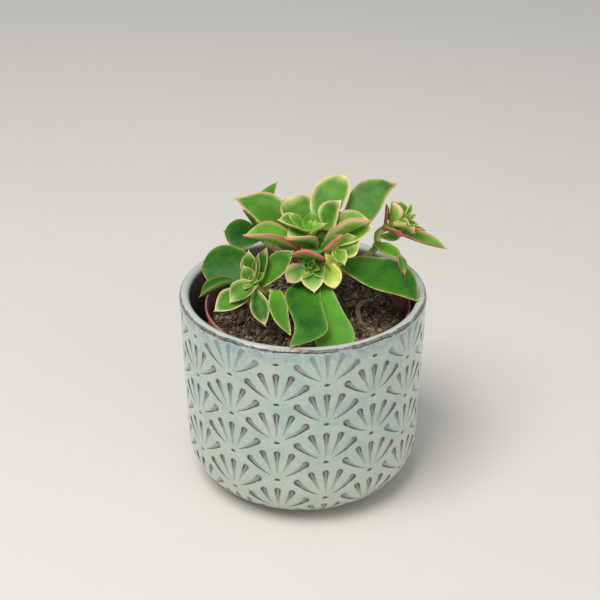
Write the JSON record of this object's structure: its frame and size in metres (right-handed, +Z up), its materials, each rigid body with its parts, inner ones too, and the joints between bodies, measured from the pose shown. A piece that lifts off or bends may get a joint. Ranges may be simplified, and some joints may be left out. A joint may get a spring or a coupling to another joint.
{
  "type": "potted aeonium",
  "caption": "Branching variegated succulent with leaf rosettes, rooted in soil in a thin plastic nursery pot that stands inside a glazed cover pot with a pattern of pressed fans.",
  "frame": {"origin": "middle of the cover pot's flat base, on the surface it stands on", "axes": "+Z up along the cover pot's axis; -Y is the front, the side towards which the leaves hang over the rim; +X is to the right seen from the front"},
  "size_m": [0.14, 0.13, 0.1645],
  "materials": {
    "cover_glaze": "glossy grey-green reactive glaze that breaks brown on edges",
    "nursery_plastic": "satin terracotta-coloured plastic",
    "soil": "loose fibrous potting mix",
    "root": "rough bare root",
    "stem": "smooth fleshy stem",
    "leaf_outer": "satin green leaf with a thin reddish edge",
    "leaf_inner": "satin light green leaf with cream and pink edges",
    "leaf_gold": "satin yellow-green leaf"
  },
  "bodies": {
    "root": {"cover_pot": "cover_glaze", "nursery_pot": "nursery_plastic", "main_stem": "stem", "left_stem": "stem", "front_stem": "stem", "gold_stem": "stem", "right_stem": "stem", "back_left_stem": "stem", "surface_root": "root", "potting_soil": "soil", "main_heart": "leaf_inner", "left_heart": "leaf_inner", "front_heart": "leaf_inner", "gold_heart": "leaf_gold", "right_heart": "leaf_inner", "main_leaf_inner_spiky": "leaf_inner", "main_leaf_inner_front": "leaf_inner", "main_leaf_inner_left": "leaf_inner", "main_leaf_upper_right": "leaf_inner", "main_leaf_upper_left": "leaf_inner", "main_leaf_right": "leaf_inner", "main_leaf_front_right": "leaf_inner", "main_leaf_front_middle": "leaf_inner", "main_leaf_front": "leaf_inner", "main_leaf_left": "leaf_inner", "main_leaf_left_back": "leaf_inner", "main_leaf_right_back": "leaf_inner", "main_leaf_back": "leaf_inner", "main_leaf_back_low_right": "leaf_inner", "main_leaf_back_low": "leaf_inner", "gold_leaf_lower": "leaf_gold", "gold_leaf_lower_right": "leaf_gold", "gold_leaf_right": "leaf_gold", "front_leaf_right": "leaf_inner", "front_leaf_lower": "leaf_inner", "front_leaf_left": "leaf_inner", "left_leaf_lower": "leaf_inner", "left_leaf_lowest": "leaf_inner", "left_leaf_lower_left": "leaf_inner", "left_leaf_inner": "leaf_inner", "left_leaf_upper_left": "leaf_inner", "left_leaf_upright": "leaf_inner", "left_leaf_upper_right": "leaf_inner", "right_leaf_small_low": "leaf_inner", "right_leaf_long": "leaf_inner", "right_leaf_low": "leaf_inner", "right_leaf_front": "leaf_inner", "right_leaf_edge_on": "leaf_inner", "right_leaf_top": "leaf_inner", "left_broad_leaf": "leaf_outer", "left_folded_leaf": "leaf_outer", "back_left_round_leaf": "leaf_outer", "back_left_narrow_leaf": "leaf_outer", "back_spike_leaf": "leaf_outer", "back_middle_leaf": "leaf_outer", "left_front_leaf": "leaf_outer", "right_curled_leaf": "leaf_outer", "right_broad_leaf": "leaf_outer", "hanging_dark_leaf": "leaf_outer", "hanging_light_leaf": "leaf_outer"}
  },
  "joints": []
}
